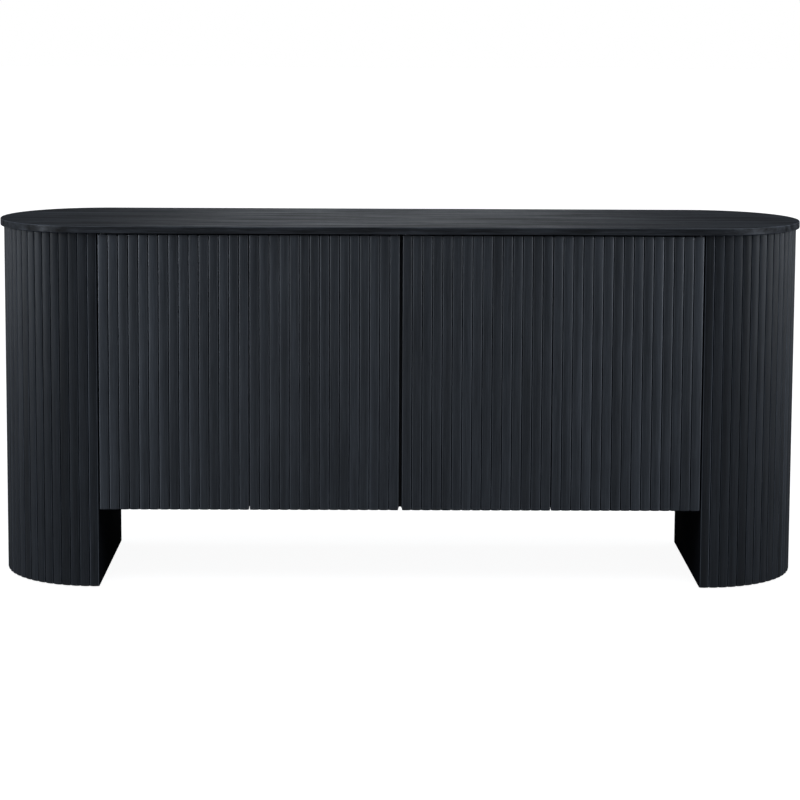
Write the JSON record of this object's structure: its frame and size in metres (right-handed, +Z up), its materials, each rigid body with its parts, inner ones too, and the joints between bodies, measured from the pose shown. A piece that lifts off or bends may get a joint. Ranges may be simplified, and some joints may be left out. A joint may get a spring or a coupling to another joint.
{
  "type": "sideboard buffet",
  "caption": "Long pill-shaped sideboard with half-round fluted ends that reach the floor as legs, fluted handleless doors between them, shelves inside and a thin flat top.",
  "frame": {"origin": "on the floor under the middle of the top", "axes": "+X to the right along the length seen from the front, +Z up, doors face -Y"},
  "size_m": [1.7996, 0.45, 0.8],
  "materials": {
    "stained_top": "black stain, satin lacquer, fine straight grain along the length",
    "stained_slats": "black stain, satin lacquer, vertical grain",
    "dark_board": "black stained veneer, matt",
    "back_board": "black stained hardboard, matt",
    "steel": "zinc-plated steel",
    "black_steel": "steel with black zinc plating",
    "black_plastic": "moulded black nylon"
  },
  "bodies": {
    "carcass": {"top_panel": "stained_top", "left_end_slats": "stained_slats", "right_end_slats": "stained_slats", "left_end_shell": "dark_board", "right_end_shell": "dark_board", "left_leg_panel": "dark_board", "right_leg_panel": "dark_board", "left_end_ribs": "dark_board", "right_end_ribs": "dark_board", "floor_glides": "black_plastic", "carcass_left_side": "dark_board", "carcass_right_side": "dark_board", "centre_partition": "dark_board", "bottom_board": "dark_board", "sub_top": "dark_board", "back_panel_left": "back_board", "back_panel_right": "back_board", "left_shelf": "dark_board", "right_shelf": "dark_board", "shelf_pins": "steel", "column_bolts": "steel", "top_screws": "steel", "back_screws": "steel", "top_pivot_plates": "black_steel", "bottom_pivot_plates": "black_steel", "pivot_pins": "steel", "pivot_washers": "black_plastic", "plate_screws": "black_steel", "latch_housings": "black_plastic", "latch_screws": "steel"},
    "door_1": {"door_1_board": "stained_slats", "door_1_slats": "stained_slats", "door_1_pivot_leaves": "black_steel", "door_1_leaf_screws": "black_steel", "door_1_strike": "steel"},
    "door_2": {"door_2_board": "stained_slats", "door_2_slats": "stained_slats", "door_2_pivot_leaves": "black_steel", "door_2_leaf_screws": "black_steel", "door_2_strike": "steel"},
    "door_3": {"door_3_board": "stained_slats", "door_3_slats": "stained_slats", "door_3_pivot_leaves": "black_steel", "door_3_leaf_screws": "black_steel", "door_3_strike": "steel"},
    "door_4": {"door_4_board": "stained_slats", "door_4_slats": "stained_slats", "door_4_pivot_leaves": "black_steel", "door_4_leaf_screws": "black_steel", "door_4_strike": "steel"},
    "latch_plunger_1": {"latch_plunger_1": "black_plastic"},
    "latch_plunger_2": {"latch_plunger_2": "black_plastic"},
    "latch_plunger_3": {"latch_plunger_3": "black_plastic"},
    "latch_plunger_4": {"latch_plunger_4": "black_plastic"}
  },
  "joints": [
    {"name": "door_1_pivot", "type": "hinge", "parent": "carcass", "child": "door_1", "pos_m": [-0.6485, -0.209, 0.478], "axis": [0, 0, -1], "range_deg": [0, 95]},
    {"name": "door_2_pivot", "type": "hinge", "parent": "carcass", "child": "door_2", "pos_m": [-0.0125, -0.209, 0.478], "axis": [0, 0, 1], "range_deg": [0, 90]},
    {"name": "door_3_pivot", "type": "hinge", "parent": "carcass", "child": "door_3", "pos_m": [0.0125, -0.209, 0.478], "axis": [0, 0, -1], "range_deg": [0, 90]},
    {"name": "door_4_pivot", "type": "hinge", "parent": "carcass", "child": "door_4", "pos_m": [0.6485, -0.209, 0.478], "axis": [0, 0, 1], "range_deg": [0, 95]},
    {"name": "latch_1_press", "type": "slide", "parent": "carcass", "child": "latch_plunger_1", "axis": [0, 1, 0], "range_m": [0, 0.0025], "stiffness_N_per_m": 400},
    {"name": "latch_2_press", "type": "slide", "parent": "carcass", "child": "latch_plunger_2", "axis": [0, 1, 0], "range_m": [0, 0.0025], "stiffness_N_per_m": 400},
    {"name": "latch_3_press", "type": "slide", "parent": "carcass", "child": "latch_plunger_3", "axis": [0, 1, 0], "range_m": [0, 0.0025], "stiffness_N_per_m": 400},
    {"name": "latch_4_press", "type": "slide", "parent": "carcass", "child": "latch_plunger_4", "axis": [0, 1, 0], "range_m": [0, 0.0025], "stiffness_N_per_m": 400}
  ]
}
